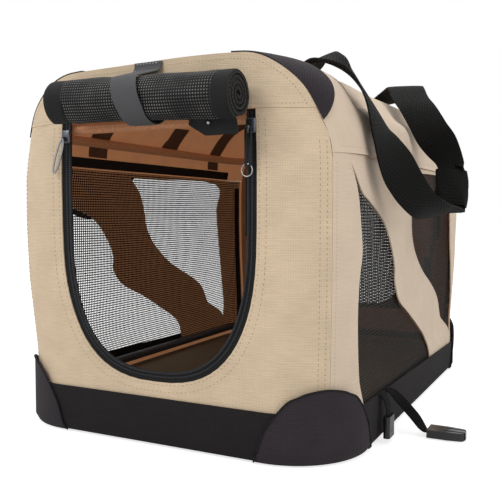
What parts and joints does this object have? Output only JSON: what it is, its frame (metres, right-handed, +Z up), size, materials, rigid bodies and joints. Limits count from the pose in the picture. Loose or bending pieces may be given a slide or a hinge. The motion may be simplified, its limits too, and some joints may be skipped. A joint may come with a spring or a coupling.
{
  "type": "folding soft pet carrier",
  "caption": "Soft-sided box carrier for a small pet: cloth and mesh walls on a folding tube frame, a roll-up mesh door, carry handles and a closure strap.",
  "frame": {"origin": "Centre of the flat underside, on the floor.", "axes": "+X to the carrier's right as seen from its front, -Y towards the front with the door, +Z up."},
  "size_m": [0.4622, 0.5399, 0.3556],
  "materials": {
    "tan_cloth": "plain-woven polyester",
    "dark_cloth": "plain-woven polyester",
    "black_mesh": "open-hole knitted mesh",
    "black_webbing": "woven webbing",
    "grey_strap": "soft loop tape",
    "mat_cloth": "padded cloth",
    "board": "matte",
    "painted_tube": "satin",
    "pin_steel": "plain",
    "black_plastic": "gloss",
    "zip_metal": "satin"
  },
  "bodies": {
    "base": {"base_tub": "dark_cloth", "corner_patch_front_left": "dark_cloth", "corner_patch_front_right": "dark_cloth", "corner_patch_rear_left": "dark_cloth", "corner_patch_rear_right": "dark_cloth", "floor_board": "board", "floor_mat": "mat_cloth", "base_frame": "painted_tube", "front_panel": "tan_cloth", "rear_panel": "tan_cloth", "side_panel_left": "tan_cloth", "side_panel_right": "tan_cloth", "side_mesh_left": "black_mesh", "side_mesh_right": "black_mesh", "rear_mesh": "black_mesh", "door_zip_tape": "black_webbing", "closure_tail_long": "black_webbing", "closure_tail_short": "black_webbing", "buckle_prongs": "black_plastic", "buckle_socket": "black_plastic"},
    "front_lower_legs": {"front_lower_leg_left": "painted_tube", "front_lower_leg_right": "painted_tube", "front_knuckle_pin_left": "pin_steel", "front_knuckle_pin_right": "pin_steel"},
    "front_upper_legs": {"front_upper_leg_left": "painted_tube", "front_upper_leg_right": "painted_tube"},
    "rear_lower_legs": {"rear_lower_leg_left": "painted_tube", "rear_lower_leg_right": "painted_tube", "rear_knuckle_pin_left": "pin_steel", "rear_knuckle_pin_right": "pin_steel"},
    "rear_upper_legs": {"rear_upper_leg_left": "painted_tube", "rear_upper_leg_right": "painted_tube"},
    "top": {"roof_panel": "tan_cloth", "front_yoke": "tan_cloth", "roof_patch_front_left": "dark_cloth", "roof_patch_front_right": "dark_cloth", "roof_patch_rear_left": "dark_cloth", "roof_patch_rear_right": "dark_cloth", "top_frame": "painted_tube", "front_bow": "painted_tube", "rear_bow": "painted_tube", "door_roll": "black_mesh", "roll_strap": "grey_strap"},
    "zip_slider_left": {"zip_slider_left": "zip_metal"},
    "zip_slider_right": {"zip_slider_right": "zip_metal"},
    "zip_pull_left": {"zip_pull_left": "black_plastic"},
    "zip_pull_right": {"zip_pull_right": "black_plastic"},
    "handle_left": {"carry_handle_left": "black_webbing"},
    "handle_right": {"carry_handle_right": "black_webbing", "grip_wrap": "black_webbing"}
  },
  "joints": [
    {"name": "fold", "type": "hinge", "parent": "base", "child": "front_lower_legs", "pos_m": [0, -0.21932, 0.0411], "axis": [-1, 0, 0], "range_deg": [0, 70], "deforming": ["front_panel", "rear_panel", "side_panel_left", "side_panel_right", "side_mesh_left", "side_mesh_right", "rear_mesh", "door_zip_tape"]},
    {"name": "front_knuckle", "type": "hinge", "parent": "front_lower_legs", "child": "front_upper_legs", "pos_m": [0, -0.21932, 0.15405], "axis": [1, 0, 0], "range_deg": [0, 140]},
    {"name": "front_top_pivot", "type": "hinge", "parent": "front_upper_legs", "child": "top", "pos_m": [0, -0.21932, 0.267], "axis": [-1, 0, 0], "range_deg": [0, 70]},
    {"name": "rear_foot_pivot", "type": "hinge", "parent": "base", "child": "rear_lower_legs", "pos_m": [0, 0.21932, 0.0411], "axis": [1, 0, 0], "range_deg": [0, 70]},
    {"name": "rear_knuckle", "type": "hinge", "parent": "rear_lower_legs", "child": "rear_upper_legs", "pos_m": [0, 0.21932, 0.15405], "axis": [-1, 0, 0], "range_deg": [0, 140]},
    {"name": "zip_slider_left_slide", "type": "slide", "parent": "top", "child": "zip_slider_left", "axis": [0, 0, -1], "range_m": [0, 0.07]},
    {"name": "zip_slider_right_slide", "type": "slide", "parent": "top", "child": "zip_slider_right", "axis": [0, 0, -1], "range_m": [0, 0.07]},
    {"name": "zip_pull_left_swing", "type": "hinge", "parent": "zip_slider_left", "child": "zip_pull_left", "pos_m": [-0.094, -0.2517, 0.2685], "axis": [-1, 0, 0], "range_deg": [0, 100]},
    {"name": "zip_pull_right_swing", "type": "hinge", "parent": "zip_slider_right", "child": "zip_pull_right", "pos_m": [0.094, -0.2517, 0.2685], "axis": [-1, 0, 0], "range_deg": [0, 100]},
    {"name": "handle_left_lift", "type": "hinge", "parent": "top", "child": "handle_left", "pos_m": [-0.07, 0, 0.3322], "axis": [0, 1, 0], "range_deg": [0, 130]},
    {"name": "handle_right_lift", "type": "hinge", "parent": "top", "child": "handle_right", "pos_m": [0.07, 0, 0.3322], "axis": [0, -1, 0], "range_deg": [0, 130]}
  ],
  "couplings": [
    {"joint": "front_knuckle", "follows": "fold", "ratio": 2},
    {"joint": "front_top_pivot", "follows": "fold", "ratio": 1},
    {"joint": "rear_foot_pivot", "follows": "fold", "ratio": 1},
    {"joint": "rear_knuckle", "follows": "fold", "ratio": 2}
  ]
}
